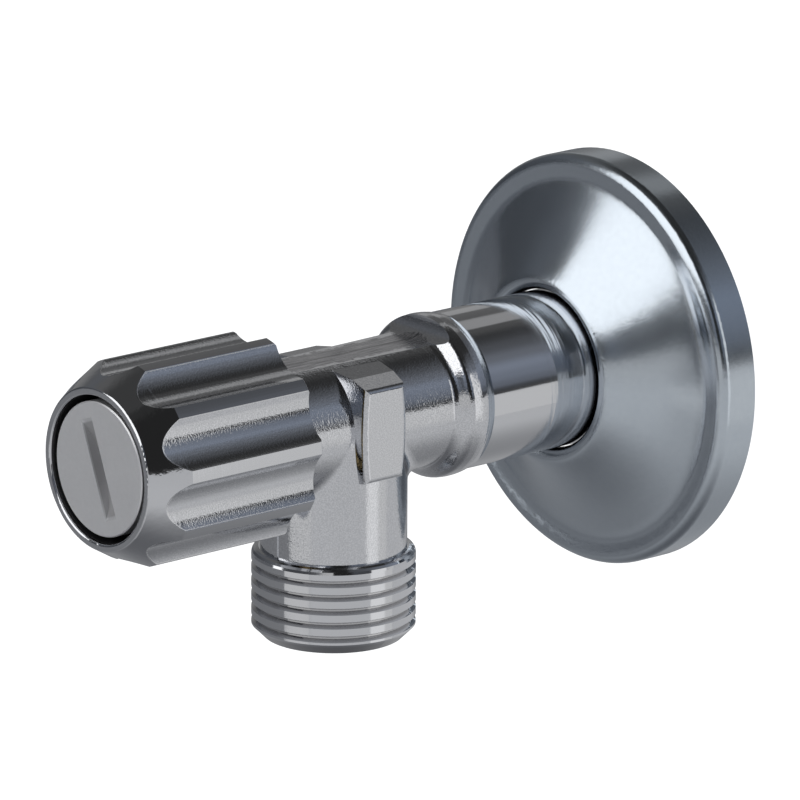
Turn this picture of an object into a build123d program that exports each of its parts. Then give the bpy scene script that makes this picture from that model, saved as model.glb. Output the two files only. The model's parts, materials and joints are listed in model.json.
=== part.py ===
from build123d import *
from math import cos, pi, radians, sin, tan
import os

# Filtered angle valve, millimetres.
# The origin is the inlet axis at the finished wall, +Y points into the wall,
# +Z is up, the outlet points down and the knob points to the room (-Y).

# Lengths along the inlet axis, counted from the wall towards the room.
inlet_thread_length = 12.0
inlet_thread_inside = 2.0
shoulder_from_wall = 29.35
collar_fall = 2.15
collar_rise = 3.5
outlet_from_wall = 47.2
knob_rear_from_wall = 59.7
knob_length = 25.4

# Pipe thread G 1/2, cut slightly flat on its crests.
thread_crest_radius = 10.45
thread_pitch = 1.814
thread_groove_width = 0.9
thread_root_width = 0.16
thread_flank_angle = 27.5

# Forged and turned outside of the body.
tube_radius = 10.25
collar_radius = 10.62
collar_radius_at_tube = 10.32
barrel_rear_radius = 8.85
barrel_front_radius = 8.43
flash_flat_depth = 0.5
flash_flat_run_out = 0.2
flash_sweep_radius = 2.4
leg_radius = 9.33
leg_fillet = 2.2
leg_shoulder_from_axis = 16.9
leg_shoulder_height = 1.64
leg_shoulder_round = 0.9
outlet_end_from_axis = 28.5
outlet_chamfer = 1.5
flash_line_width = 0.55
flash_line_height = 0.14
flash_line_top = 9.5

# Wrench pads on both sides of the body.
pad_face_from_axis = 10.2
pad_middle_width = 6.9
pad_end_width = 5.65
pad_top = 6.6
pad_bottom = 6.1
pad_draft = 9.0
pad_root_from_axis = 4.0
pad_roof_slope = 23.0
pad_roof_at_face = 5.9
pad_edge_round = 0.7

# Water ways and seat.
inlet_bore_radius = 6.0
outlet_bore_radius = 6.2
chamber_radius = 7.0
chamber_floor_from_wall = 26.2
dividing_wall = 2.2
seat_hole_radius = 4.0
seat_rim_width = 0.8
seat_rim_height = 1.0

# Neck of the body and bonnet, inside the knob.
neck_radius = 9.3
neck_cone_length = 1.0
neck_cone_from_knob = 0.2
neck_length = 5.1
neck_groove_depth = 1.1
neck_groove_width = 1.6
neck_groove_from_end = 1.4
bonnet_radius = 10.2
bonnet_key_width = 17.0
bonnet_front_wall = 4.3
bonnet_flats_shoulder = 0.5
bonnet_mouth_gap = 0.25
joint_clearance = 0.03

# Spindle.
stem_radius = 5.8
flange_radius = 8.6
flange_thickness = 2.05
stem_flats_width = 10.2
thrust_ring_thickness = 0.5
slip_ring_thickness = 0.5
spindle_tail_radius = 5.6
spindle_tail_length = 10.5
running_clearance = 0.05
stem_groove_width = 1.8
stem_ring_section = 1.15

# Closing piston.
piston_travel = 3.0
piston_guide_radius = 6.93
piston_window_radius = 6.1
piston_nose_radius = 5.9
piston_nose_length = 5.5
piston_nose_wall = 1.5
piston_land_length = 4.1
piston_groove_width = 1.8
piston_groove_radius = 5.6
piston_window_section = 14.5
piston_window_length = 10.5
piston_window_width = 4.2
piston_window_count = 4
piston_guide_length = 8.5
piston_socket_gap = 0.5
port_radius = 1.1
port_count = 6
key_width = 2.0
key_radius = 7.5
key_clearance = 0.1
washer_radius = 5.3
washer_thickness = 2.2
washer_lip_depth = 1.0
seat_gap = 0.02
plate_radius = 3.2
plate_thickness = 0.6
screw_radius = 1.25
screw_head_radius = 2.2
screw_head_height = 1.3
screw_slot_width = 0.7
screw_slot_depth = 0.6

# Knob.
knob_radius = 13.1
knob_face_radius = 10.3
knob_cone_length = 4.8
knob_mouth_radius = 9.37
knob_web_thickness = 2.6
knob_hub_radius = 8.2
knob_hub_length = 4.6
knob_hub_gap = 0.35
knob_cavity_radius = 11.0
knob_lip_round = 0.3
knob_edge_round = 0.25
flute_count = 10
flute_bottom_radius = 11.5
flute_cutter_radius = 5.2
flute_first_angle = 23.0
snap_ring_section = 0.8
snap_ring_groove_depth = 0.6
snap_ring_reach = 1.2
snap_ring_opening = 40.0

# Filter cap.
cap_radius = 8.54
cap_below_face = 0.36
cap_thickness = 2.25
cap_edge_round = 0.15
cap_shank_length = 9.0
cap_slot_width = 2.2
cap_slot_length = 12.9
cap_slot_depth = 1.8
cap_slot_angle = 22.0
cap_groove_width = 1.4
cap_groove_from_end = 0.9
cap_groove_depth = 0.9
clip_neck_radius = 2.4
clip_head_radius = 3.0
clip_neck_length = 1.8
clip_head_length = 1.0

# Filter, pulled out to the front through the spindle.
filter_bore_radius = 4.75
filter_rear_from_wall = 37.8
holder_radius = 4.4
holder_stem_radius = 3.6
holder_socket_length = 3.6
holder_ring_length = 2.0
holder_rear_ring_length = 2.2
holder_mouth_radius = 3.0
holder_rib_count = 4
holder_rib_width = 1.2
holder_rib_root = 0.4
screen_outer_radius = 4.15
screen_thickness = 0.2
screen_length = 14.5
lip_seal_width = 1.0
lip_seal_depth = 0.6
lip_seal_from_end = 0.6

# Wall rosette, pressed from sheet.
rosette_radius = 27.0
rosette_depth = 12.6
rosette_skirt = 5.6
rosette_thickness = 0.8
rosette_hole_gap = 0.1
rosette_lip_round = 0.9
rosette_bead_round = 1.0
rosette_valley_drop = 0.18
rosette_flare_power = 1.35

# Values that follow from the sizes above.
groove_depth = (thread_groove_width - thread_root_width) / 2 / tan(radians(thread_flank_angle))
y_inlet_end = inlet_thread_length
y_thread_start = -inlet_thread_inside
y_shoulder = -shoulder_from_wall
y_collar_crest = y_shoulder - collar_fall
y_collar_front = y_collar_crest - collar_rise
y_outlet = -outlet_from_wall
y_knob_rear = -knob_rear_from_wall
y_knob_face = y_knob_rear - knob_length
y_neck_cone = y_knob_rear - neck_cone_from_knob
y_neck = y_neck_cone - neck_cone_length
y_neck_end = y_neck - neck_length
y_floor = -chamber_floor_from_wall
y_seat = y_floor - seat_rim_height
z_shoulder = -leg_shoulder_from_axis
z_thread = z_shoulder - leg_shoulder_height
z_outlet_end = -outlet_end_from_axis
rosette_hole_radius = tube_radius + rosette_hole_gap

# The spindle flange runs between two rings, in the space between body and bonnet.
y_thrust_front = y_neck_end - thrust_ring_thickness
y_flange_rear = y_thrust_front - running_clearance
y_flange_front = y_flange_rear - flange_thickness
y_slip_rear = y_flange_front
y_slip_front = y_slip_rear - slip_ring_thickness
y_bonnet_wall = y_slip_front - running_clearance
y_bonnet_front = y_bonnet_wall - bonnet_front_wall

# The piston is drawn at rest on its seat.
y_washer_rear = y_seat - seat_gap
y_washer_front = y_washer_rear - washer_thickness
y_nose_front = y_washer_front - piston_nose_length + washer_lip_depth
y_land_front = y_nose_front - piston_land_length
y_windows_front = y_land_front - piston_window_section
y_piston_front = y_windows_front - piston_guide_length
y_tail_end = y_flange_rear + spindle_tail_length
y_socket_end = y_tail_end + piston_travel + piston_socket_gap

# The cap sits just inside the knob face, on the end of the spindle.
y_cap_front = y_knob_face + cap_below_face
y_cap_rear = y_cap_front + cap_thickness
y_spindle_end = y_cap_rear + running_clearance
y_shank_end = y_cap_rear + cap_shank_length
y_hub_rear = y_bonnet_front - knob_hub_gap
y_mouth_floor = y_hub_rear - knob_hub_length

# The filter holder reaches from the clip on the cap to just short of the piston ports.
y_holder_front = y_shank_end + running_clearance
y_socket_rear = y_shank_end + clip_neck_length
y_clip_end = y_socket_rear + clip_head_length
y_holder_rear = -filter_rear_from_wall
y_rear_ring = y_holder_rear - holder_rear_ring_length
y_screen_front = y_rear_ring - screen_length
y_front_ring = y_screen_front - holder_ring_length


def turned(points):
    """Solid of revolution about the inlet axis from (radius, y) points."""
    return revolve(make_face(Polyline(*points, close=True)), axis=Axis.Y)


def ring(inner, outer, y_a, y_b):
    """Plain ring about the inlet axis."""
    return turned([(inner, y_a), (outer, y_a), (outer, y_b), (inner, y_b)])


def o_ring(inner, outer, y_a, y_b):
    """Rubber ring that fills its groove, with rounded corners."""
    width = min(outer - inner, abs(y_b - y_a))
    middle = Location(((inner + outer) / 2, (y_a + y_b) / 2, 0))
    section = middle * RectangleRounded(outer - inner, abs(y_b - y_a), width * 0.45)
    return revolve(section, axis=Axis.Y)


def around(count, first_angle=0.0):
    """Rotations about the inlet axis, evenly spaced, counted from +X towards +Z."""
    return [Rot(0, -(first_angle + 360.0 * i / count), 0) for i in range(count)]


def thread_outline(start, end, crest, step):
    """Crests and grooves of a thread as (radius, height) points, from start towards end."""
    points = []
    root = crest - groove_depth
    half_mouth = thread_groove_width / 2
    half_root = thread_root_width / 2
    count = int((abs(end - start) - thread_groove_width) / thread_pitch) + 1
    for i in range(count):
        middle = start + step * (half_mouth + i * thread_pitch)
        points.append((crest, middle - step * half_mouth))
        points.append((root, middle - step * half_root))
        points.append((root, middle + step * half_root))
        points.append((crest, middle + step * half_mouth))
    return points


def body_of_revolution():
    """Turned and forged outline of the wall tube, collar, barrel and neck, without bores."""
    chamfer = thread_pitch * 0.6
    thread_from = y_thread_start + thread_pitch * 0.5
    points = [(0, y_inlet_end)]
    points.append((thread_crest_radius - chamfer, y_inlet_end))
    points.append((thread_crest_radius, y_inlet_end - chamfer))
    grooves = thread_outline(thread_from, y_inlet_end - chamfer - thread_pitch * 0.3, thread_crest_radius, 1)
    points += reversed(grooves)
    points.append((thread_crest_radius, y_thread_start))
    points.append((tube_radius, y_thread_start - (thread_crest_radius - tube_radius)))
    points.append((tube_radius, y_shoulder))
    points.append((collar_radius_at_tube, y_shoulder))
    tube = Polyline(*points)
    half_drop = (collar_radius - collar_radius_at_tube) / 4
    crown = ThreePointArc(
        (collar_radius_at_tube, y_shoulder),
        (collar_radius - half_drop, y_shoulder - collar_fall / 2),
        (collar_radius, y_collar_crest),
    )
    rise = collar_radius - barrel_rear_radius
    flank_points = []
    for along, up in ((0, 1), (0.2, 0.975), (0.4, 0.9), (0.58, 0.62), (0.74, 0.25), (0.87, 0.06), (1, 0)):
        flank_points.append((barrel_rear_radius + rise * up, y_collar_crest - collar_rise * along))
    taper = (barrel_rear_radius - barrel_front_radius) / (y_collar_front - y_neck_cone)
    flank = Spline(*flank_points, tangents=[(0, -1), (-taper, -1)])
    front = Polyline(
        (barrel_rear_radius, y_collar_front),
        (barrel_front_radius, y_neck_cone),
        (neck_radius, y_neck),
        (neck_radius, y_neck_end),
        (0, y_neck_end),
        (0, y_inlet_end),
    )
    return revolve(make_face(tube + crown + flank + front), axis=Axis.Y)


def outlet_leg():
    """Outlet leg with its shoulder and thread, from the barrel axis down, without its bore."""
    crest = thread_crest_radius
    points = [(0, 0), (leg_radius, 0), (leg_radius, z_shoulder)]
    for angle in (0, 22.5, 45, 67.5, 90):
        drop = leg_shoulder_round * (1 - cos(radians(angle)))
        points.append((crest - leg_shoulder_round * (1 - sin(radians(angle))), z_shoulder - drop))
    points += thread_outline(z_thread, z_outlet_end + outlet_chamfer, crest, -1)
    points.append((crest, z_outlet_end + outlet_chamfer))
    points.append((crest - outlet_chamfer, z_outlet_end))
    points.append((0, z_outlet_end))
    outline = Polyline(*[(r, 0, z) for r, z in points], close=True)
    return Pos(0, y_outlet, 0) * revolve(make_face(outline), axis=Axis.Z)


def filleted_saddle(barrel):
    """Barrel and a long leg with a fillet where they cross, cut back to the lower half."""
    reach = leg_shoulder_from_axis - 1
    cross = barrel + Pos(0, y_outlet, 0) * Cylinder(leg_radius, 2 * reach)
    curves = [e for e in cross.edges() if e.geom_type not in (GeomType.LINE, GeomType.CIRCLE)]
    cross = fillet(curves, leg_fillet)
    span = 2 * (leg_radius + 2 * leg_fillet)
    return cross & Pos(0, y_outlet, -reach / 2) * Box(2 * span, span, reach)


def wrench_pad():
    """Drafted pad on the +X side, with its sloping roof, joined to barrel and leg."""
    reach = pad_face_from_axis - pad_root_from_axis
    spread = reach * tan(radians(pad_draft))
    half_end = pad_end_width / 2 + spread
    half_middle = pad_middle_width / 2 + spread
    top = pad_top + spread
    bottom = -pad_bottom - spread
    outline = Polyline((-half_end, top), (half_end, top))
    outline += ThreePointArc((half_end, top), (half_middle, 0), (half_end, bottom))
    outline += Polyline((half_end, bottom), (-half_end, bottom))
    outline += ThreePointArc((-half_end, bottom), (-half_middle, 0), (-half_end, top))
    root = Plane(origin=(pad_root_from_axis, y_outlet, 0), x_dir=(0, 1, 0), z_dir=(1, 0, 0))
    pad = extrude(root * make_face(outline), amount=reach, taper=pad_draft)
    # The roof slopes down from the flash flat to the top edge of the face.
    roof = Plane(origin=(pad_face_from_axis, y_outlet, pad_roof_at_face), x_dir=(0, 1, 0),
                 z_dir=(sin(radians(pad_roof_slope)), 0, cos(radians(pad_roof_slope))))
    pad = split(pad, bisect_by=roof, keep=Keep.BOTTOM)
    face = pad.faces().sort_by(Axis.X)[-1]
    return fillet(face.edges(), pad_edge_round)


def flash_flat():
    """Cutter for the ground strip along the top of the barrel, ending in a hollow at the collar."""
    z_flat = barrel_front_radius - flash_flat_depth
    y_end = y_collar_front + flash_flat_run_out
    z_end = z_flat + flash_sweep_radius
    y_mid = y_end + flash_sweep_radius * sin(radians(45))
    z_mid = z_flat + flash_sweep_radius * (1 - cos(radians(45)))
    top = 2 * collar_radius
    outline = Polyline((0, y_neck_cone, top), (0, y_neck_cone, z_flat), (0, y_end, z_flat))
    outline += ThreePointArc((0, y_end, z_flat), (0, y_mid, z_mid), (0, y_end + flash_sweep_radius, z_end))
    outline += Polyline((0, y_end + flash_sweep_radius, z_end), (0, y_end + flash_sweep_radius, top),
                        (0, y_neck_cone, top))
    return extrude(make_face(outline), amount=barrel_front_radius, dir=(1, 0, 0), both=True)


def body_bores():
    """Water ways: wall tube, seat hole, piston chamber with its key way, outlet."""
    ways = turned([
        (0, y_inlet_end + 1),
        (inlet_bore_radius, y_inlet_end + 1),
        (inlet_bore_radius, y_floor + dividing_wall),
        (seat_hole_radius, y_floor + dividing_wall),
        (seat_hole_radius, y_seat),
        (seat_hole_radius + seat_rim_width, y_seat),
        (seat_hole_radius + seat_rim_width, y_floor),
        (chamber_radius, y_floor),
        (chamber_radius, y_neck_end - 1),
        (0, y_neck_end - 1),
    ])
    outlet_depth = outlet_end_from_axis + 1
    ways += Pos(0, y_outlet, -outlet_depth / 2) * Cylinder(outlet_bore_radius, outlet_depth)
    way_top = key_radius + key_clearance
    way_rear = y_windows_front + key_clearance + running_clearance
    way_length = way_rear - y_neck_end + 1
    way_width = key_width + 2 * key_clearance
    ways += Pos(0, way_rear - way_length / 2, way_top / 2) * Box(way_width, way_length, way_top)
    return ways


def valve_body():
    """The one-piece body: forging, turned ends, ground flash, bores and threads."""
    barrel = body_of_revolution()
    body = barrel + filleted_saddle(barrel) + outlet_leg()
    pad = wrench_pad()
    body += pad
    body += mirror(pad, about=Plane.YZ)
    body -= flash_flat()
    ridge_height = z_shoulder + flash_line_top
    ridge = Box(flash_line_width, leg_radius, -ridge_height)
    body += Pos(0, y_outlet - leg_radius / 2 - flash_line_height, -flash_line_top + ridge_height / 2) * ridge
    body -= body_bores()
    groove_rear = y_neck_end + neck_groove_from_end + neck_groove_width
    groove_front = groove_rear - neck_groove_width
    body -= ring(neck_radius - neck_groove_depth, neck_radius + 1, groove_rear, groove_front)
    return body


def bonnet():
    """Round cap nut over the neck, with key flats in front, the spindle hole and its ring groove."""
    y_mouth = y_neck - bonnet_mouth_gap
    nut = turned([
        (neck_radius + joint_clearance, y_mouth),
        (bonnet_radius, y_mouth),
        (bonnet_radius, y_bonnet_front),
        (stem_radius + running_clearance, y_bonnet_front),
        (stem_radius + running_clearance, y_bonnet_wall),
        (flange_radius + 3 * running_clearance, y_bonnet_wall),
        (flange_radius + 3 * running_clearance, y_neck_end),
        (neck_radius + joint_clearance, y_neck_end),
    ])
    flats_length = bonnet_front_wall - bonnet_flats_shoulder
    for side in (1, -1):
        cut = Box(bonnet_radius, flats_length, 2 * bonnet_radius)
        nut -= Pos(side * (bonnet_key_width + bonnet_radius) / 2, y_bonnet_front + flats_length / 2, 0) * cut
    y_groove = (y_bonnet_wall + y_bonnet_front + stem_groove_width) / 2
    nut -= ring(stem_radius - 1, stem_radius + stem_ring_section, y_groove, y_groove - stem_groove_width)
    return nut


def bonnet_o_ring():
    """Rubber ring in the groove of the neck."""
    y_groove = y_neck_end + neck_groove_from_end + neck_groove_width
    return o_ring(neck_radius - neck_groove_depth, neck_radius + joint_clearance, y_groove,
                  y_groove - neck_groove_width)


def spindle_o_ring():
    """Rubber ring in the bonnet, round the spindle stem."""
    y_groove = (y_bonnet_wall + y_bonnet_front + stem_groove_width) / 2
    return o_ring(stem_radius + 0.02, stem_radius + stem_ring_section, y_groove, y_groove - stem_groove_width)


def spindle():
    """Hollow spindle: threaded tail, flange, stem with two flats and a snap ring groove."""
    y_ring = y_mouth_floor
    groove = stem_radius - snap_ring_groove_depth
    shaft = turned([
        (filter_bore_radius, y_tail_end),
        (spindle_tail_radius, y_tail_end),
        (spindle_tail_radius, y_flange_rear),
        (flange_radius, y_flange_rear),
        (flange_radius, y_flange_front),
        (stem_radius, y_flange_front),
        (stem_radius, y_ring),
        (groove, y_ring),
        (groove, y_ring - snap_ring_section),
        (stem_radius, y_ring - snap_ring_section),
        (stem_radius, y_spindle_end),
        (filter_bore_radius, y_spindle_end),
    ])
    flats_length = y_hub_rear - y_spindle_end
    for side in (1, -1):
        cut = Box(stem_radius, flats_length, 2 * stem_radius)
        shaft -= Pos(side * (stem_flats_width / 2 + stem_radius / 2), y_hub_rear - flats_length / 2, 0) * cut
    return shaft


def knob():
    """Fluted knob: shell, cone, mouth for the cap, web and hub with flats on the stem."""
    outside = turned([
        (0, y_knob_rear),
        (knob_radius - knob_edge_round, y_knob_rear),
        (knob_radius, y_knob_rear - knob_edge_round),
        (knob_radius, y_knob_face + knob_cone_length),
        (knob_face_radius, y_knob_face),
        (0, y_knob_face),
    ])
    cutter_from_axis = flute_bottom_radius + flute_cutter_radius
    cutter = Rot(90, 0, 0) * Cylinder(flute_cutter_radius, 2 * knob_length)
    cutter = Pos(cutter_from_axis, (y_knob_rear + y_knob_face) / 2, 0) * cutter
    for turn in around(flute_count, flute_first_angle):
        outside -= turn * cutter
    y_web_rear = y_mouth_floor + knob_web_thickness
    inside = turned([
        (knob_hub_radius, y_knob_rear + 1),
        (knob_cavity_radius, y_knob_rear + 1),
        (knob_cavity_radius, y_web_rear),
        (knob_hub_radius, y_web_rear),
    ])
    inside += turned([(0, y_knob_rear + 1), (knob_hub_radius, y_knob_rear + 1), (knob_hub_radius, y_hub_rear),
                      (0, y_hub_rear)])
    inside += turned([(0, y_mouth_floor), (knob_mouth_radius, y_mouth_floor),
                      (knob_mouth_radius, y_knob_face - 1),
                      (0, y_knob_face - 1)])
    hole = Rot(90, 0, 0) * Cylinder(stem_radius + joint_clearance, 2 * knob_hub_length)
    hole = Pos(0, (y_mouth_floor + y_hub_rear) / 2, 0) * hole
    hole &= Pos(0, (y_mouth_floor + y_hub_rear) / 2, 0) * Box(
        stem_flats_width + 2 * joint_clearance, 3 * knob_hub_length, 4 * stem_radius)
    part = outside - inside - hole
    circles = [e for e in part.edges() if e.geom_type == GeomType.CIRCLE]
    rims = [e for e in circles if abs(e.center().Y - y_knob_face) < 0.01]
    return fillet(rims, knob_lip_round)


def knob_snap_ring():
    """Open ring in the stem groove, in front of the knob hub."""
    y_front = y_mouth_floor - snap_ring_section
    loop = ring(stem_radius - snap_ring_groove_depth, stem_radius + snap_ring_reach, y_mouth_floor, y_front)
    reach = 2 * (stem_radius + snap_ring_reach)
    gap = 2 * reach * sin(radians(snap_ring_opening / 2)) / 2
    return loop - Pos(0, (y_mouth_floor + y_front) / 2, -reach / 2) * Box(gap, 2 * snap_ring_section, reach)


def piston():
    """Closing piston: washer cup, ports, ring land, windows, threaded socket and key."""
    y_cup = y_washer_front + washer_lip_depth
    y_bottom = y_washer_front - piston_nose_wall
    y_groove = (y_nose_front + y_land_front + piston_groove_width) / 2
    socket_radius = spindle_tail_radius + running_clearance
    tube = turned([
        (screw_radius + joint_clearance, y_washer_front),
        (washer_radius + joint_clearance, y_washer_front),
        (washer_radius + joint_clearance, y_cup),
        (piston_nose_radius, y_cup),
        (piston_nose_radius, y_nose_front),
        (piston_guide_radius, y_nose_front),
        (piston_guide_radius, y_groove),
        (piston_groove_radius, y_groove),
        (piston_groove_radius, y_groove - piston_groove_width),
        (piston_guide_radius, y_groove - piston_groove_width),
        (piston_guide_radius, y_land_front),
        (piston_window_radius, y_land_front),
        (piston_window_radius, y_windows_front),
        (piston_guide_radius, y_windows_front),
        (piston_guide_radius, y_piston_front),
        (socket_radius, y_piston_front),
        (socket_radius, y_socket_end),
        (filter_bore_radius, y_socket_end),
        (filter_bore_radius, y_bottom),
        (screw_radius + joint_clearance, y_bottom),
    ])
    y_window = y_land_front - piston_window_section / 2
    window = Pos(piston_window_radius, y_window, 0) * Box(
        piston_window_radius, piston_window_length, piston_window_width)
    for turn in around(piston_window_count, 180.0 / piston_window_count):
        tube -= turn * window
    y_port = (y_bottom + y_nose_front) / 2
    port = Pos(filter_bore_radius, y_port, 0) * Rot(0, 90, 0) * Cylinder(port_radius, 2 * piston_nose_radius)
    port &= Pos(filter_bore_radius, y_port, 0) * Box(filter_bore_radius, 4 * port_radius, 4 * port_radius)
    for turn in around(port_count):
        tube -= turn * port
    key = Pos(0, (y_windows_front + y_piston_front) / 2, (piston_guide_radius + key_radius) / 2) * Box(
        key_width, piston_guide_length, key_radius - piston_guide_radius + 0.6)
    guide_middle = (y_windows_front + y_piston_front) / 2
    key &= Pos(0, guide_middle, 0) * Box(4 * key_radius, piston_guide_length, 2 * key_radius)
    return tube + key


def piston_o_ring():
    """Rubber ring in the piston land, sliding in the chamber."""
    y_groove = (y_nose_front + y_land_front + piston_groove_width) / 2
    return o_ring(piston_groove_radius, chamber_radius - 0.03, y_groove, y_groove - piston_groove_width)


def washer_plate():
    """Small metal plate between the seat washer and the screw head."""
    return ring(screw_radius + joint_clearance, plate_radius, y_washer_rear, y_washer_rear + plate_thickness)


def washer_screw():
    """Cheese-head screw that clamps the washer to the piston."""
    y_head = y_washer_rear + plate_thickness
    y_top = y_head + screw_head_height
    screw = turned([
        (0, y_top),
        (screw_head_radius, y_top),
        (screw_head_radius, y_head),
        (screw_radius, y_head),
        (screw_radius, y_washer_front - piston_nose_wall),
        (0, y_washer_front - piston_nose_wall),
    ])
    slot = Box(3 * screw_head_radius, 2 * screw_slot_depth, screw_slot_width)
    return screw - Pos(0, y_top, 0) * slot


def filter_cap():
    """Slotted cap with its screwed shank, ring groove and clip for the filter holder."""
    shank_radius = filter_bore_radius - running_clearance
    y_groove = y_shank_end - cap_groove_from_end
    groove = shank_radius - cap_groove_depth
    cap = turned([
        (0, y_cap_front),
        (cap_radius - cap_edge_round, y_cap_front),
        (cap_radius, y_cap_front + cap_edge_round),
        (cap_radius, y_cap_rear),
        (shank_radius, y_cap_rear),
        (shank_radius, y_groove - cap_groove_width),
        (groove, y_groove - cap_groove_width),
        (groove, y_groove),
        (shank_radius, y_groove),
        (shank_radius, y_shank_end),
        (clip_neck_radius, y_shank_end),
        (clip_neck_radius, y_socket_rear),
        (clip_head_radius, y_socket_rear),
        (clip_head_radius - 0.4, y_clip_end),
        (0, y_clip_end),
    ])
    # The slot is sawn with a disc, so its floor rises to the face at both ends.
    half = cap_slot_length / 2
    saw_radius = (half * half + cap_slot_depth * cap_slot_depth) / (2 * cap_slot_depth)
    saw = Rot(0, 90, 0) * Cylinder(saw_radius, cap_slot_width)
    saw = Pos(0, y_cap_front + cap_slot_depth - saw_radius, 0) * saw
    return cap - Rot(0, -cap_slot_angle, 0) * saw


def cap_o_ring():
    """Rubber ring in the groove of the cap shank."""
    shank_radius = filter_bore_radius - running_clearance
    y_groove = y_shank_end - cap_groove_from_end
    return o_ring(shank_radius - cap_groove_depth, shank_radius + 0.02, y_groove, y_groove - cap_groove_width)


def filter_holder():
    """Plastic holder: clip socket, stem, and a cage of two rings and ribs for the screen."""
    rib_outer = screen_outer_radius - screen_thickness
    socket_end = y_holder_front + holder_socket_length
    y_seal = y_holder_rear - lip_seal_from_end
    seal_floor = holder_radius - lip_seal_depth
    holder = turned([
        (clip_neck_radius + running_clearance, y_holder_front),
        (holder_radius, y_holder_front),
        (holder_radius, socket_end),
        (holder_stem_radius, socket_end + 1),
        (holder_stem_radius, y_front_ring - 1),
        (holder_radius, y_front_ring),
        (holder_radius, y_screen_front),
        (0, y_screen_front),
        (0, y_clip_end + 2 * running_clearance),
        (clip_head_radius + running_clearance, y_clip_end + 2 * running_clearance),
        (clip_head_radius + running_clearance, y_socket_rear - running_clearance),
        (clip_neck_radius + running_clearance, y_socket_rear - running_clearance),
    ])
    holder += turned([
        (holder_mouth_radius, y_rear_ring),
        (holder_radius, y_rear_ring),
        (holder_radius, y_seal - lip_seal_width),
        (seal_floor, y_seal - lip_seal_width),
        (seal_floor, y_seal),
        (holder_radius, y_seal),
        (holder_radius, y_holder_rear),
        (holder_mouth_radius, y_holder_rear),
    ])
    y_rib_front = y_screen_front - holder_rib_root
    y_rib_rear = y_rear_ring + holder_rib_root
    sleeve = ring(holder_mouth_radius, rib_outer, y_rib_front, y_rib_rear)
    rib = Pos(rib_outer, (y_rib_front + y_rib_rear) / 2, 0) * Box(
        2 * (rib_outer - holder_mouth_radius), y_rib_rear - y_rib_front, holder_rib_width)
    for turn in around(holder_rib_count):
        holder += turn * rib & sleeve
    return holder


def filter_screen():
    """Fine steel mesh, made as the thin tube that it forms."""
    return ring(screen_outer_radius - screen_thickness, screen_outer_radius, y_screen_front, y_rear_ring)


def filter_lip_seal():
    """Rubber lip at the open end of the holder, sliding in the piston bore."""
    y_seal = y_holder_rear - lip_seal_from_end
    return o_ring(holder_radius - lip_seal_depth, filter_bore_radius - running_clearance, y_seal,
                  y_seal - lip_seal_width)


def rosette():
    """Pressed sheet: lip round the hole, concave flare, bead and short skirt to the wall."""
    half = rosette_thickness / 2
    lip_middle = rosette_hole_radius + half + rosette_lip_round
    lip_y = half + rosette_lip_round - rosette_depth
    bead_middle = rosette_radius - half - rosette_bead_round
    bead_y = half + rosette_bead_round - rosette_skirt
    valley = bead_middle - 1.7 * rosette_bead_round
    valley_y = half - rosette_skirt + rosette_valley_drop
    points = []
    for angle in (180, 150, 120, 90, 68, 50):
        points.append((lip_middle + rosette_lip_round * cos(radians(angle)),
                       lip_y - rosette_lip_round * sin(radians(angle))))
    flare, flare_y = points[-1]
    for share in (0.12, 0.26, 0.42, 0.6, 0.8, 1):
        points.append((flare + share * (valley - flare),
                       valley_y + (flare_y - valley_y) * (1 - share) ** rosette_flare_power))
    for angle in (102, 78, 50, 25, 0):
        points.append((bead_middle + rosette_bead_round * cos(radians(angle)),
                       bead_y - rosette_bead_round * sin(radians(angle))))
    centre = Spline(*points)
    # Both faces of the sheet lie half its thickness from the centre line.
    steps = [i / 90 for i in range(91)]
    front = Spline(*[centre @ t + Vector(centre % t).rotate(Axis.Z, -90) * half for t in steps])
    back = Spline(*[centre @ t + Vector(centre % t).rotate(Axis.Z, 90) * half for t in steps])
    sheet = make_face(Wire([front.edge(), Line(front @ 1, back @ 1).edge(), back.edge(),
                            Line(back @ 0, front @ 0).edge()]))
    sheet += Pos(rosette_radius - half, bead_y / 2) * Rectangle(rosette_thickness, -bead_y)
    return revolve(sheet, axis=Axis.Y)


makers = {
    "valve_body": valve_body,
    "rosette": rosette,
    "knob": knob,
    "filter_cap": filter_cap,
    "bonnet": bonnet,
    "bonnet_o_ring": bonnet_o_ring,
    "spindle": spindle,
    "spindle_o_ring": spindle_o_ring,
    "thrust_ring": lambda: ring(chamber_radius, flange_radius, y_neck_end, y_thrust_front),
    "slip_ring": lambda: ring(stem_radius + joint_clearance, flange_radius, y_slip_rear, y_slip_front),
    "knob_snap_ring": knob_snap_ring,
    "piston": piston,
    "piston_o_ring": piston_o_ring,
    "seat_washer": lambda: ring(screw_radius + joint_clearance, washer_radius, y_washer_front, y_washer_rear),
    "washer_plate": washer_plate,
    "washer_screw": washer_screw,
    "cap_o_ring": cap_o_ring,
    "filter_holder": filter_holder,
    "filter_screen": filter_screen,
    "filter_lip_seal": filter_lip_seal,
}

os.makedirs("parts", exist_ok=True)
for name, make in makers.items():
    export_step(make(), os.path.join("parts", name + ".step"))
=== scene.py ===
import json
import math

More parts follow.
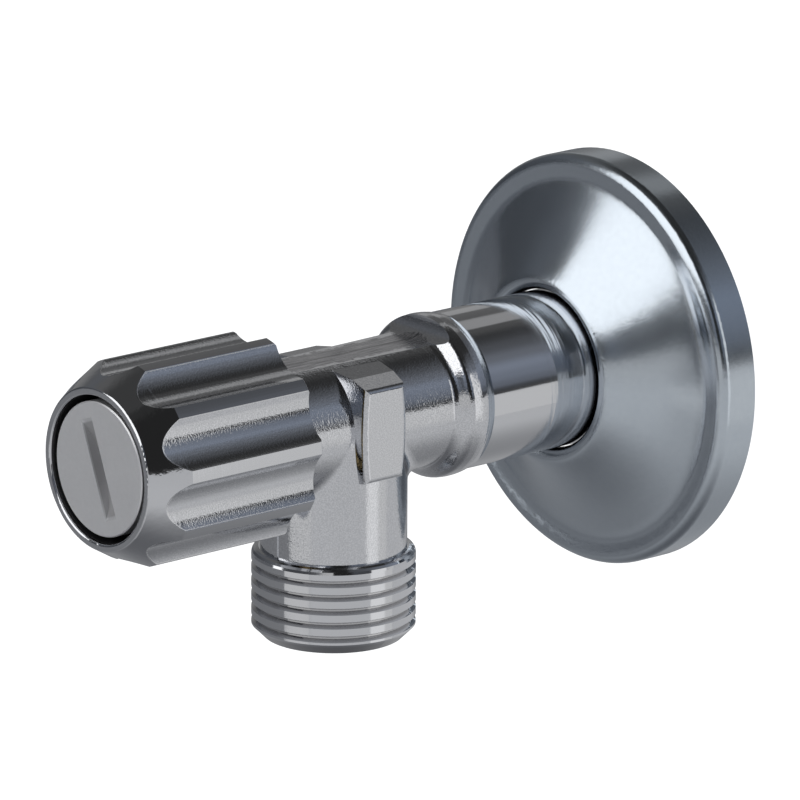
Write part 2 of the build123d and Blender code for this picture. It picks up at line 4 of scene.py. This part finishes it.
import bpy
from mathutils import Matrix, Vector


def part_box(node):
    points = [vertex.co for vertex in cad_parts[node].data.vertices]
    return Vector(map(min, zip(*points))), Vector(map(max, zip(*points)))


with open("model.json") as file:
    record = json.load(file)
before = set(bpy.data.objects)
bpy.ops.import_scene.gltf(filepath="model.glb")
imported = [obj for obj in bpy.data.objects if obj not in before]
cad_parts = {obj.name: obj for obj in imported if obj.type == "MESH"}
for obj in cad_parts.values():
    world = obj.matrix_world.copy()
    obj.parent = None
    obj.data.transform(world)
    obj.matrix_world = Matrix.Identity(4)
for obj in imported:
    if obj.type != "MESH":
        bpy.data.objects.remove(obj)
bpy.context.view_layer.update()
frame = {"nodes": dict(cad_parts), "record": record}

# Studio: the valve hangs in the air over a plain pale floor, as if it were screwed into its wall.
# A large soft box stands in front to the left. Low strips and boards stand in front, to the right and behind
# the wall, and draw the bright bands on the metal. The room is dim, and the camera sees it as white.


def add_node(tree, kind, inputs=None, **settings):
    """New node in a tree, with its settings, and its inputs given as values or links."""
    item = tree.nodes.new(kind)
    for key, value in settings.items():
        setattr(item, key, value)
    for key, value in (inputs or {}).items():
        if isinstance(value, bpy.types.NodeSocket):
            tree.links.new(value, item.inputs[key])
        else:
            item.inputs[key].default_value = value
    return item


def result_of(tree, kind, inputs, **settings):
    """First output of a new node."""
    return add_node(tree, kind, inputs, **settings).outputs[0]


def math_node(tree, operation, first, second=0.0):
    """One sum on two values."""
    return result_of(tree, "ShaderNodeMath", {0: first, 1: second}, operation=operation)


def times(tree, first, second):
    """Product of two values."""
    return math_node(tree, "MULTIPLY", first, second)


def plus(tree, first, second):
    """Sum of two values."""
    return math_node(tree, "ADD", first, second)


def vector_node(tree, operation, first, second=(0, 0, 0), output=0):
    """One step on two vectors; the output called Value is a plain number."""
    return add_node(tree, "ShaderNodeVectorMath", {0: first, 1: second}, operation=operation).outputs[output]


def between(tree, value, low, high):
    """Smooth step from 0 at low to 1 at high; low above high turns it round."""
    inputs = {"Value": value, "From Min": low, "From Max": high}
    return result_of(tree, "ShaderNodeMapRange", inputs, interpolation_type="SMOOTHSTEP")


def ramp(tree, value, stops):
    """Colour ramp over a value, from (place, colour) stops."""
    item = add_node(tree, "ShaderNodeValToRGB", {"Fac": value})
    item.color_ramp.interpolation = "EASE"
    elements = item.color_ramp.elements
    elements[0].position, elements[0].color = stops[0][0], (*stops[0][1], 1)
    elements[1].position, elements[1].color = stops[-1][0], (*stops[-1][1], 1)
    for place, colour in stops[1:-1]:
        elements.new(place).color = (*colour, 1)
    return item.outputs["Color"]


def grey(value, blue=0.0):
    """Grey level with a little blue in it."""
    return (value * (1 - blue / 2), value, value * (1 + blue))


def blend_colours(tree, share, first, second):
    """Colour that goes from first to second as share goes from 0 to 1."""
    factor, colour_a, colour_b, blended = 0, 6, 7, 2
    inputs = {factor: share, colour_a: first, colour_b: second}
    return add_node(tree, "ShaderNodeMix", inputs, data_type="RGBA").outputs[blended]


def empty_tree(holder):
    """Node tree of a material or world, with nothing in it."""
    holder.use_nodes = True
    holder.node_tree.nodes.clear()
    return holder.node_tree


def flat_sheet(name, corners, material):
    """Object that is one four-cornered face."""
    mesh = bpy.data.meshes.new(name)
    mesh.from_pydata(corners, [], [(0, 1, 2, 3)])
    mesh.materials.append(material)
    sheet = bpy.data.objects.new(name, mesh)
    bpy.context.collection.objects.link(sheet)
    return sheet


# A bearing runs once round the room from 0 to 1: 0.25 is in front of the knob, 0.5 to the right and 0.75
# behind the wall. Each side of the room is a list of greys by height, from the horizon at 0 to the top at 1.
room = bpy.data.worlds.new("studio_room")
bpy.context.scene.world = room
tree = empty_tree(room)
direction = add_node(tree, "ShaderNodeTexCoord").outputs["Generated"]
parts = add_node(tree, "ShaderNodeSeparateXYZ", {"Vector": direction}).outputs
bearing = math_node(tree, "ARCTAN2", parts["Y"], parts["X"])
bearing = plus(tree, times(tree, bearing, 0.5 / math.pi), 0.5)
right_wall = ramp(tree, parts["Z"], [
    (0.0, grey(0.05)), (0.06, grey(0.06, 0.1)), (0.16, grey(0.15, 0.2)), (0.3, grey(0.2, 0.22)),
    (0.45, grey(0.24, 0.22)), (0.6, grey(0.16, 0.15)), (0.72, grey(0.09, 0.1)), (0.8, grey(0.03))])
left_wall = ramp(tree, parts["Z"], [
    (0.0, grey(0.06, 0.1)), (0.2, grey(0.07, 0.1)), (0.5, grey(0.11, 0.1)), (0.7, grey(0.11)),
    (0.9, grey(0.05))])
back_wall = ramp(tree, parts["Z"], [
    (0.0, grey(0.2)), (0.2, grey(0.21)), (0.4, grey(0.13)), (0.72, grey(0.1)), (0.85, grey(0.03))])
camera_side = ramp(tree, parts["Z"], [(0.0, grey(0.05)), (0.05, grey(0.02)), (1.0, grey(0.02))])
to_camera_side = ramp(tree, bearing, [(0.36, grey(0)), (0.385, grey(1)), (0.45, grey(1)), (0.475, grey(0))])
to_right = ramp(tree, bearing, [(0.3, grey(0)), (0.34, grey(1)), (0.74, grey(1)), (0.8, grey(0))])
to_back = ramp(tree, bearing, [(0.74, grey(0)), (0.8, grey(1)), (0.93, grey(1)), (0.99, grey(0))])
walls = blend_colours(tree, to_right, left_wall, right_wall)
walls = blend_colours(tree, to_back, walls, back_wall)
walls = blend_colours(tree, to_camera_side, walls, camera_side)
light = add_node(tree, "ShaderNodeLightPath").outputs
daylight, pure_white = (0.93, 0.95, 1.0, 1), (1, 1, 1, 1)
seen_in_metal = result_of(tree, "ShaderNodeBackground", {"Color": walls, "Strength": 1.0})
on_matte = result_of(tree, "ShaderNodeBackground", {"Color": daylight, "Strength": 0.55})
white_backdrop = result_of(tree, "ShaderNodeBackground", {"Color": pure_white, "Strength": 1.0})
lit = result_of(tree, "ShaderNodeMixShader", {0: light["Is Diffuse Ray"], 1: seen_in_metal, 2: on_matte})
seen = result_of(tree, "ShaderNodeMixShader", {0: light["Is Camera Ray"], 1: lit, 2: white_backdrop})
add_node(tree, "ShaderNodeOutputWorld", {"Surface": seen})

# The floor is grey paint, and the camera sees it white. Metal sees a painted glow on it, like paper under
# lamps: a painted pool of light, more to the right, a painted shadow under the valve, and no glow past the
# edge where such a sheet would end, in front to the left.
floor_half, floor_height = 30, -0.4
floor_corners = [(-floor_half, -floor_half, floor_height), (floor_half, -floor_half, floor_height),
                 (floor_half, floor_half, floor_height), (-floor_half, floor_half, floor_height)]
toward_right, toward_sheet_end = (0.97, 0.26, 0), (-0.8, -0.6, 0)
floor_grey = (0.25, 0.253, 0.26, 1)
paint = bpy.data.materials.new("pale_floor_paint")
tree = empty_tree(paint)
light = add_node(tree, "ShaderNodeLightPath").outputs
place = add_node(tree, "ShaderNodeTexCoord").outputs["Object"]
across = vector_node(tree, "DOT_PRODUCT", place, toward_right, "Value")
painted_light_to_right = result_of(tree, "ShaderNodeMapRange", {
    "Value": across, "From Min": -0.6, "From Max": 0.1, "To Min": 0.05, "To Max": 0.38})
away = vector_node(tree, "LENGTH", vector_node(tree, "MULTIPLY", place, (1, 1, 0)), output="Value")
out_of_painted_shadow = between(tree, away, 0.05, 0.6)
ahead = vector_node(tree, "DOT_PRODUCT", place, toward_sheet_end, "Value")
on_sheet = between(tree, ahead, 1.9, 1.4)
# Painted light and shadow: the glow is a painted pool of light to the right, with a painted shadow under the
# valve.
glow = times(tree, times(tree, painted_light_to_right, out_of_painted_shadow), on_sheet)
glow = times(tree, light["Is Glossy Ray"], glow)
glow = plus(tree, light["Is Camera Ray"], glow)
matte = result_of(tree, "ShaderNodeBsdfDiffuse", {"Color": floor_grey, "Roughness": 0.9})
shine = result_of(tree, "ShaderNodeEmission", {"Color": pure_white, "Strength": glow})
both = result_of(tree, "ShaderNodeAddShader", {0: matte, 1: shine})
add_node(tree, "ShaderNodeOutputMaterial", {"Surface": both})
pale_floor = flat_sheet("pale_floor", floor_corners, paint)

# The lamps are flat screens, placed by what the metal reflects, and the camera doesn't see them.
valve_middle = Vector((0, -0.04, 0))


def toward(bearing, height):
    """Direction at a bearing and a height in degrees; 0 is to the right of the valve and 90 into the wall."""
    bearing, height = math.radians(bearing), math.radians(height)
    level = math.cos(height)
    return Vector((math.cos(bearing) * level, math.sin(bearing) * level, math.sin(height)))


def soft_box(name, corners, distance, level):
    """Flat glowing screen whose corners lie in four directions (bearing, height) from the valve."""
    corners = [toward(*corner) for corner in corners]
    middle = sum(corners, Vector()).normalized()
    points = [valve_middle + corner * (distance / corner.dot(middle)) for corner in corners]
    cloth = bpy.data.materials.new(name)
    tree = empty_tree(cloth)
    shine = result_of(tree, "ShaderNodeEmission", {"Color": pure_white, "Strength": level})
    add_node(tree, "ShaderNodeOutputMaterial", {"Surface": shine})
    screen = flat_sheet(name, points, cloth)
    screen.visible_camera = False


soft_box("front_soft_box", [(-130, -9), (-54, 27), (-62, 53), (-140, 58)], distance=1.2, level=1.35)
soft_box("low_front_strip", [(-112, -19), (-74, -19), (-74, -13), (-112, -13)], distance=0.9, level=0.6)
soft_box("low_right_board", [(-86, -7), (-40, -7), (-40, 7), (-84, 0)], distance=2.5, level=0.5)
soft_box("side_strip", [(13, -24), (33, -24), (33, 32), (13, 32)], distance=0.8, level=0.8)
soft_box("low_side_board", [(33, -24), (50, -24), (50, -1), (33, -1)], distance=0.9, level=0.6)
soft_box("back_lamp", [(133, 10), (147, 10), (147, 24), (133, 24)], distance=1.5, level=0.33)
soft_box("back_reflector", [(108, 38), (128, 38), (128, 50), (108, 50)], distance=1.5, level=0.3)

# The camera stands well back with a long lens, to the right of the knob and a little above it.
# Its angles and its target come from the outlines of the valve.
turn, lift, roll = math.radians(49.827), math.radians(15.953), math.radians(0.310)
target = Vector((0, -0.036336, 0.000164))
distance = 0.951448
outward = Vector((math.sin(turn) * math.cos(lift), -math.cos(turn) * math.cos(lift), math.sin(lift)))
right = (-outward).cross(Vector((0, 0, 1))).normalized()
up = right.cross(-outward)
rolled_right = right * math.cos(roll) + up * math.sin(roll)
rolled_up = up * math.cos(roll) - right * math.sin(roll)
lens = bpy.data.cameras.new("camera")
lens.lens = 337.5
lens.sensor_width = 36
lens.clip_end = 100
camera = bpy.data.objects.new("camera", lens)
pose = camera.matrix_world.copy()
pose.col[0] = (*rolled_right, 0)
pose.col[1] = (*rolled_up, 0)
pose.col[2] = (*outward, 0)
pose.col[3] = (*(target + outward * distance), 1)
camera.matrix_world = pose
bpy.context.collection.objects.link(camera)
bpy.context.scene.camera = camera
bpy.context.scene.view_settings.view_transform = "Standard"

# Valve body: a brass forging, blasted, then turned at its ends and chromium plated in one go.
# The forged skin stays grainy, the wall tube, collar and thread are smooth turned metal,
# and the flash is ground off along the top, which leaves a brushed strip with ragged edges.
mm, micron = 0.001, 0.000001
across_inlet, across_leg = (1, 0, 1), (1, 1, 0)
inlet_centre = (0, 0, 0)


def finish_of(name, base, metallic, roughness):
    """New material with its tree, shader and object coordinates."""
    material = bpy.data.materials.new(name)
    material.use_nodes = True
    tree = material.node_tree
    shader = tree.nodes["Principled BSDF"]
    shader.inputs["Base Color"].default_value = (*base, 1)
    shader.inputs["Metallic"].default_value = metallic
    shader.inputs["Roughness"].default_value = roughness
    place = add_node(tree, "ShaderNodeTexCoord").outputs["Object"]
    return material, tree, shader, place


def wire_up(tree, shader, colour, normal, rough=None):
    """Join colour, bump and, where it varies, roughness to a finish's shader."""
    tree.links.new(colour, shader.inputs["Base Color"])
    tree.links.new(normal, shader.inputs["Normal"])
    if rough is not None:
        tree.links.new(rough, shader.inputs["Roughness"])


def span(tree, value, low, high):
    """Map a value from 0..1 to low..high."""
    return result_of(tree, "ShaderNodeMapRange", {"Value": value, "To Min": low, "To Max": high})


def larger(tree, first, second):
    """The larger of two values."""
    return math_node(tree, "MAXIMUM", first, second)


def remainder(tree, share):
    """What a share of 0..1 leaves of 1."""
    return math_node(tree, "SUBTRACT", 1.0, share)


def split(tree, place):
    """The three coordinates of a place."""
    return add_node(tree, "ShaderNodeSeparateXYZ", {"Vector": place}).outputs


def from_axis(tree, place, centre, across):
    """Distance from an axis through centre; across has 0 along the axis and 1 elsewhere."""
    moved = vector_node(tree, "SUBTRACT", place, centre)
    return vector_node(tree, "LENGTH", vector_node(tree, "MULTIPLY", moved, across), output="Value")


def grain(tree, place, size, stretch=(1, 1, 1), detail=2.0):
    """Noise whose grains are about size metres across; a small stretch draws them out along that axis."""
    stretched = result_of(tree, "ShaderNodeMapping", {"Vector": place, "Scale": stretch})
    noise = {"Vector": stretched, "Scale": 1 / size, "Detail": detail}
    return add_node(tree, "ShaderNodeTexNoise", noise).outputs["Fac"]


def speckled(tree, place, grainy, even_tone):
    """Tone of the plating from 0, dark, to 1, light: speckled where the skin is grainy and even elsewhere."""
    speckle = between(tree, grain(tree, place, 0.15 * mm, detail=1), 0.36, 0.66)
    return plus(tree, times(tree, speckle, grainy), times(tree, remainder(tree, grainy), even_tone))


def bump(tree, height, depth, below=None):
    """Bump over a height of 0..1, depth in metres, on top of the bump below it."""
    inputs = {"Height": height, "Strength": 1.0, "Distance": depth}
    if below is not None:
        inputs["Normal"] = below
    return result_of(tree, "ShaderNodeBump", inputs)


def dress(node, material):
    """Put a material on every face of a CAD node."""
    mesh = frame["nodes"][node].data
    mesh.materials.clear()
    mesh.materials.append(material)


outlet = next(mount for mount in frame["record"]["mounts"] if mount["name"] == "outlet_thread")
leg_y = outlet["pos_m"][1]
thread_crest = outlet["dims"]["r_mm"] * mm
thread_top = -18.4 * mm
barrel_end, leg_skin_end = -30.6 * mm, -16.8 * mm
chatter_front, chatter_full = -21.5 * mm, -18.5 * mm
strip_radius, strip_side = 8.9 * mm, 7.4 * mm
pad_face_x = 9.9 * mm
inlet_bore_radius, outlet_bore_radius, outlet_bore_top = 7.3 * mm, 6.4 * mm, -8.5 * mm
parting_line_width = 0.2 * mm
plate_dark, plate_light = (0.66, 0.67, 0.695, 1), (0.8, 0.81, 0.835, 1)
bare_brass, groove_painted_shade, parting_dark = (0.62, 0.47, 0.24, 1), (0.58, 0.58, 0.59, 1), (0.2, 0.2, 0.21, 1)

material, tree, shader, place = finish_of("body_chrome_plate", (0.74, 0.75, 0.775), 1.0, 0.08)
xyz = split(tree, place)
radius = from_axis(tree, place, inlet_centre, across_inlet)
leg_radius = from_axis(tree, place, (0, leg_y, 0), across_leg)
peel = grain(tree, place, 0.23 * mm)
coarse = grain(tree, place, 0.8 * mm, detail=3)
lathe_tube = grain(tree, place, 0.12 * mm, (0.02, 1, 0.02))
lathe_leg = grain(tree, place, 0.14 * mm, (0.02, 0.02, 1))
chatter = grain(tree, place, 0.7 * mm, (0.05, 1, 0.05), detail=1)
brushed = grain(tree, place, 0.12 * mm, (1, 0.03, 1), detail=3)
cloudy = grain(tree, place, 4 * mm, detail=3)
ragged = times(tree, grain(tree, place, 0.5 * mm, (1, 0.4, 1)), 0.9 * mm)

turned_tube = between(tree, xyz["Y"], barrel_end, barrel_end + 0.4 * mm)
turned_leg = between(tree, xyz["Z"], leg_skin_end, leg_skin_end - 0.4 * mm)
turned = larger(tree, turned_tube, turned_leg)
skin = remainder(tree, turned)
strip = between(tree, plus(tree, radius, ragged), strip_radius, strip_radius - 0.08 * mm)
strip = times(tree, strip, between(tree, xyz["Z"], strip_side, strip_side + 0.2 * mm))
beside = math_node(tree, "ABSOLUTE", xyz["X"])
pad_face = times(tree, between(tree, beside, pad_face_x, pad_face_x + 0.15 * mm), skin)
in_inlet = between(tree, radius, inlet_bore_radius, inlet_bore_radius - 0.1 * mm)
in_outlet = times(tree, between(tree, leg_radius, outlet_bore_radius, outlet_bore_radius - 0.1 * mm),
                  between(tree, xyz["Z"], outlet_bore_top, outlet_bore_top - 0.3 * mm))
in_bore = larger(tree, in_inlet, in_outlet)
wander = plus(tree, xyz["X"], times(tree, coarse, 0.2 * mm))
parting = between(tree, math_node(tree, "ABSOLUTE", wander), parting_line_width, parting_line_width / 2)
groove = times(tree, between(tree, leg_radius, thread_crest - 0.1 * mm, thread_crest - 0.55 * mm),
               between(tree, xyz["Z"], thread_top, thread_top - 0.4 * mm))
groove = times(tree, groove, between(tree, leg_radius, thread_crest - 1.65 * mm, thread_crest - 1.35 * mm))

normal = bump(tree, times(tree, peel, skin), 13 * micron)
uneven = times(tree, coarse, larger(tree, pad_face, times(tree, skin, 0.4)))
normal = bump(tree, uneven, 28 * micron, normal)
normal = bump(tree, times(tree, lathe_tube, turned_tube), 2.5 * micron, normal)
chatter = times(tree, chatter, between(tree, xyz["Y"], chatter_front, chatter_full))
normal = bump(tree, chatter, 20 * micron, normal)
normal = bump(tree, times(tree, lathe_leg, turned_leg), 1 * micron, normal)
normal = bump(tree, times(tree, brushed, strip), 12 * micron, normal)
rough = plus(tree, span(tree, cloudy, 0.05, 0.11), times(tree, strip, 0.16))
rough = plus(tree, rough, times(tree, in_bore, 0.2))
colour = blend_colours(tree, speckled(tree, place, skin, 0.6), plate_dark, plate_light)
scratches = ramp(tree, brushed, [(0.3, (0.25, 0.25, 0.27)), (0.7, (0.72, 0.72, 0.74))])
colour = blend_colours(tree, strip, colour, scratches)
colour = blend_colours(tree, times(tree, parting, times(tree, strip, 0.8)), colour, parting_dark)
# Painted shade: the roots of the thread are painted a darker grey.
colour = blend_colours(tree, groove, colour, groove_painted_shade)
colour = blend_colours(tree, in_bore, colour, bare_brass)
wire_up(tree, shader, colour, normal, rough)
dress("valve_body", material)

# Rosette: a disc pressed from thin brass sheet with a rolled lip, chromium plated with a satin, bluish shine.
# It is loose on the wall tube and is pushed back against the tiles.
lip_radius = 10.9 * mm
satin_dark, satin_light, lip_shadow = (0.61, 0.67, 0.735, 1), (0.66, 0.72, 0.78, 1), (0.05, 0.05, 0.055, 1)
material, tree, shader, place = finish_of("rosette_satin_plate", (0.63, 0.69, 0.75), 1.0, 0.2)
rough = span(tree, grain(tree, place, 6 * mm, detail=4), 0.15, 0.24)
normal = bump(tree, grain(tree, place, 0.6 * mm, detail=3), 6 * micron)
fine_grain = grain(tree, place, 0.8 * mm, detail=3)
colour = blend_colours(tree, fine_grain, satin_dark, satin_light)
radius = from_axis(tree, place, inlet_centre, across_inlet)
lip_inside = between(tree, radius, lip_radius, lip_radius - 0.3 * mm)
colour = blend_colours(tree, lip_inside, colour, lip_shadow)
wire_up(tree, shader, colour, normal, rough)
dress("rosette", material)

# Knob: brass bar, turned outside, with ten flutes left grainy by their milling, then polished and plated.
# It is pushed on to the flats of the spindle; its hollow is dull, and painted shade darkens it and the mouth
# round the cap.
knob_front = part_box("knob")[0][1]
cone_back = knob_front + 4.8 * mm
cone_front_radius, cone_back_radius = 10.3 * mm, 13.1 * mm
flute_inner_radius = 11.4 * mm
mouth_radius, hollow_radius = 9.7 * mm, 11.2 * mm
rim_painted_highlight, hollow_painted_shade = (0.97, 0.97, 0.98, 1), (0.08, 0.08, 0.085, 1)
material, tree, shader, place = finish_of("knob_chrome_plate", (0.75, 0.76, 0.785), 1.0, 0.07)
xyz = split(tree, place)
radius = from_axis(tree, place, inlet_centre, across_inlet)
peel = grain(tree, place, 0.23 * mm)
lathe = grain(tree, place, 0.1 * mm, (0.02, 1, 0.02))
drawn = grain(tree, place, 0.4 * mm, (1, 0.02, 1))
waves = grain(tree, place, 0.9 * mm, detail=3)

land_radius = result_of(tree, "ShaderNodeMapRange", {
    "Value": xyz["Y"], "From Min": knob_front, "From Max": cone_back,
    "To Min": cone_front_radius, "To Max": cone_back_radius})
below_land = math_node(tree, "SUBTRACT", land_radius, radius)
in_flute = times(tree, between(tree, below_land, 0.04 * mm, 0.08 * mm),
                 between(tree, radius, flute_inner_radius, flute_inner_radius + 0.2 * mm))
on_land = remainder(tree, in_flute)
ragged = plus(tree, below_land, times(tree, peel, 0.16 * mm))
on_rim = times(tree, in_flute, between(tree, ragged, 0.26 * mm, 0.16 * mm))
in_mouth = times(tree, between(tree, radius, mouth_radius, mouth_radius - 0.3 * mm),
                 between(tree, xyz["Y"], knob_front + 0.3 * mm, knob_front + 0.8 * mm))
in_hollow = times(tree, between(tree, radius, hollow_radius, hollow_radius - 0.1 * mm),
                  between(tree, xyz["Y"], cone_back - 0.2 * mm, cone_back + 0.3 * mm))
inside = larger(tree, in_mouth, in_hollow)
on_cone = between(tree, xyz["Y"], cone_back, cone_back - 0.5 * mm)
behind_cone = between(tree, xyz["Y"], cone_back - 0.3 * mm, cone_back + 0.1 * mm)

normal = bump(tree, times(tree, peel, in_flute), 13 * micron)
normal = bump(tree, times(tree, lathe, on_land), 2.5 * micron, normal)
normal = bump(tree, times(tree, waves, on_cone), 20 * micron, normal)
normal = bump(tree, times(tree, drawn, behind_cone), 8 * micron, normal)
rough = span(tree, grain(tree, place, 3 * mm, detail=3), 0.04, 0.1)
rough = plus(tree, rough, times(tree, inside, 0.5))
rough = plus(tree, rough, times(tree, on_rim, 0.45))
colour = blend_colours(tree, speckled(tree, place, in_flute, 0.62), plate_dark, plate_light)
# Painted highlight: a bright line is painted along the rims of the flutes.
colour = blend_colours(tree, on_rim, colour, rim_painted_highlight)
# Painted shade: the hollow and the mouth round the cap are painted nearly black.
colour = blend_colours(tree, inside, colour, hollow_painted_shade)
wire_up(tree, shader, colour, normal, rough)
dress("knob", material)

# Filter cap: turned brass disc with a coin slot and a screwed shank, satin plated on its face.
# The slot's walls are raw from the saw and a little darker than the face.
slot_from, slot_reach = -84.6 * mm, 8.5 * mm
face_dark, face_light, slot_grey = (0.88, 0.885, 0.9, 1), (0.95, 0.955, 0.97, 1), (0.62, 0.62, 0.63, 1)
material, tree, shader, place = finish_of("cap_satin_plate", (0.86, 0.865, 0.88), 0.8, 0.4)
xyz = split(tree, place)
radius = from_axis(tree, place, inlet_centre, across_inlet)
in_slot = times(tree, between(tree, xyz["Y"], slot_from, slot_from + 0.2 * mm),
                between(tree, radius, slot_reach, slot_reach - 0.2 * mm))
rough = span(tree, grain(tree, place, 2 * mm, detail=4), 0.38, 0.48)
normal = bump(tree, grain(tree, place, 0.35 * mm, detail=3), 12 * micron)
satin = grain(tree, place, 0.6 * mm, detail=3)
colour = blend_colours(tree, satin, face_dark, face_light)
colour = blend_colours(tree, in_slot, colour, slot_grey)
wire_up(tree, shader, colour, normal, rough)
dress("filter_cap", material)

# Bonnet: round turned brass cap nut over the end of the neck, under the knob, that carries the spindle.
# It is screwed on with a key on the two flats in front; fine turning rings run round it.


def turned_metal(name, base, roughness, ring_size, ring_depth):
    """Metal turned about the inlet axis: fine rings, a cloudy shine and small changes of tone."""
    material, tree, shader, place = finish_of(name, base, 1.0, roughness)
    rings = grain(tree, place, ring_size, (0.03, 1, 0.03))
    cloudy = grain(tree, place, 3 * mm, detail=4)
    rough = span(tree, cloudy, roughness * 0.7, roughness * 1.4)
    dull = (base[0] * 0.84, base[1] * 0.8, base[2] * 0.78, 1)
    colour = blend_colours(tree, grain(tree, place, 1.2 * mm, detail=4), dull, (*base, 1))
    wire_up(tree, shader, colour, bump(tree, rings, ring_depth), rough)
    return material


dress("bonnet", turned_metal("bonnet_turned_brass", (0.76, 0.57, 0.27), 0.24, 0.12 * mm, 4 * micron))

# Bonnet O-ring: black nitrile rubber, moulded, squeezed between the bonnet and a groove in the neck.
# It is greased when it is fitted, so it has a slight sheen.


def moulded_rubber(name, roughness, dust):
    """Black rubber with a mottled sheen and a little pale dust."""
    material, tree, shader, place = finish_of(name, (0.022, 0.022, 0.023), 0.0, roughness)
    mottled = grain(tree, place, 1.5 * mm, detail=4)
    rough = span(tree, mottled, roughness * 0.75, roughness * 1.3)
    normal = bump(tree, grain(tree, place, 0.25 * mm, detail=3), 8 * micron)
    colour = blend_colours(tree, mottled, (0.016, 0.016, 0.017, 1), (dust, dust, dust * 1.03, 1))
    wire_up(tree, shader, colour, normal, rough)
    return material


dress("bonnet_o_ring", moulded_rubber("bonnet_ring_rubber", 0.42, 0.035))

# Spindle: hollow turned brass, with two flats for the knob, a flange and a threaded tail inside.
# It turns in the bonnet and draws the closing piston; its bore takes the filter.
dress("spindle", turned_metal("spindle_turned_brass", (0.74, 0.55, 0.25), 0.2, 0.1 * mm, 3 * micron))

# Spindle O-ring: black nitrile rubber, moulded, in a groove inside the bonnet, where it seals the stem.
# It is greased, and the stem rubs it smooth when the knob turns.
dress("spindle_o_ring", moulded_rubber("spindle_ring_rubber", 0.36, 0.03))

# Thrust ring: thin washer of white acetal plastic between the neck and the spindle flange.
# It is stamped from sheet and lies loose.


def moulded_plastic(name, light_tone, dark_tone, roughness):
    """Pale plastic that lets a little light in, with faint clouds and a fine skin."""
    material, tree, shader, place = finish_of(name, light_tone, 0.0, roughness)
    clouds = grain(tree, place, 4 * mm, detail=4)
    colour = blend_colours(tree, clouds, (*dark_tone, 1), (*light_tone, 1))
    rough = span(tree, clouds, roughness * 0.8, roughness * 1.25)
    normal = bump(tree, grain(tree, place, 0.3 * mm, detail=3), 6 * micron)
    wire_up(tree, shader, colour, normal, rough)
    shader.inputs["Subsurface Weight"].default_value = 0.15
    shader.inputs["Subsurface Radius"].default_value = (1.2 * mm, 1.1 * mm, 1.0 * mm)
    shader.inputs["Subsurface Scale"].default_value = 1.0
    return material


dress("thrust_ring", moulded_plastic("thrust_ring_acetal", (0.86, 0.86, 0.83), (0.78, 0.78, 0.74), 0.42))

# Slip ring: thin washer of white slippery plastic between the spindle flange and the bonnet.
# It is turned from tube and lies loose in grease.
dress("slip_ring", moulded_plastic("slip_ring_plastic", (0.88, 0.88, 0.86), (0.8, 0.79, 0.75), 0.34))

# Closing piston: turned brass tube with windows for the water, a key and a nose with the seat washer.
# Its key runs in the body, so it slides without turning; water leaves it a little dull.
dress("piston", turned_metal("piston_turned_brass", (0.7, 0.52, 0.25), 0.3, 0.14 * mm, 5 * micron))

# Piston O-ring: black nitrile rubber in the piston's groove; it parts the inlet side from the outlet side.
# It is greased and rubs in the bore when the piston moves.
dress("piston_o_ring", moulded_rubber("piston_ring_rubber", 0.38, 0.03))

# Seat washer: flat disc of black rubber, cut from tube, that closes the seat hole.
# It is clamped in the cup of the piston's nose and is rougher than the rings.
dress("seat_washer", moulded_rubber("seat_washer_rubber", 0.6, 0.045))

# Washer plate: small ring of stainless steel, faced on a lathe, that spreads the screw's grip on the washer.
# It lies between the seat washer and the head of the washer screw.
dress("washer_plate", turned_metal("washer_plate_steel", (0.6, 0.6, 0.61), 0.26, 0.15 * mm, 3 * micron))

# Washer screw: slotted cheese-head screw of stainless steel, turned from bar.
# It holds the plate and the washer on the piston.
dress("washer_screw", turned_metal("washer_screw_steel", (0.63, 0.63, 0.64), 0.2, 0.1 * mm, 2 * micron))

# Knob snap ring: spring steel wire bent to an open ring, blued by its heat treatment and oiled.
# It sits in the spindle's groove in front of the knob's hub and keeps the knob on.
dress("knob_snap_ring", turned_metal("snap_ring_spring_steel", (0.3, 0.3, 0.33), 0.3, 0.2 * mm, 5 * micron))

# Cap O-ring: black nitrile rubber, moulded, in a groove of the cap's shank.
# It is greased and seals the mouth of the spindle when the cap is screwed home.
dress("cap_o_ring", moulded_rubber("cap_ring_rubber", 0.4, 0.032))

# Filter holder: cage of white acetal plastic, moulded in one piece and clipped on to the end of the cap.
# It has a slightly yellow tint from the water.
dress("filter_holder", moulded_plastic("filter_holder_acetal", (0.85, 0.84, 0.79), (0.76, 0.75, 0.68), 0.4))

# Filter screen: tube of fine woven stainless steel wire, seam welded, held in the cage.
# The wires cross at right angles; the openings between them get painted shade.
wire_pitch, wires_round = 0.3 * mm, 90.0
steel_dark, steel_light, opening_painted_shade = (0.5, 0.5, 0.5, 1), (0.62, 0.62, 0.63, 1), (0.03, 0.03, 0.03, 1)
material, tree, shader, place = finish_of("filter_screen_weave", (0.55, 0.55, 0.56), 1.0, 0.35)
xyz = split(tree, place)
angle = math_node(tree, "ARCTAN2", xyz["Z"], xyz["X"])
along_wires = math_node(tree, "SINE", times(tree, xyz["Y"], 2 * math.pi / wire_pitch))
round_wires = math_node(tree, "SINE", times(tree, angle, wires_round))
wires = larger(tree, along_wires, round_wires)
uneven = plus(tree, wires, times(tree, grain(tree, place, 0.9 * mm), 0.3))
open_mesh = between(tree, uneven, 0.45, 0.2)
colour = blend_colours(tree, grain(tree, place, 2 * mm, detail=3), steel_dark, steel_light)
# Painted shade: the openings of the mesh are painted nearly black.
colour = blend_colours(tree, open_mesh, colour, opening_painted_shade)
wire_up(tree, shader, colour, bump(tree, wires, 30 * micron))
dress("filter_screen", material)

# Filter lip seal: soft black rubber ring at the open end of the cage, moulded.
# Its lip bears on the piston's bore, so that no water passes beside the screen.
dress("filter_lip_seal", moulded_rubber("lip_seal_rubber", 0.5, 0.04))
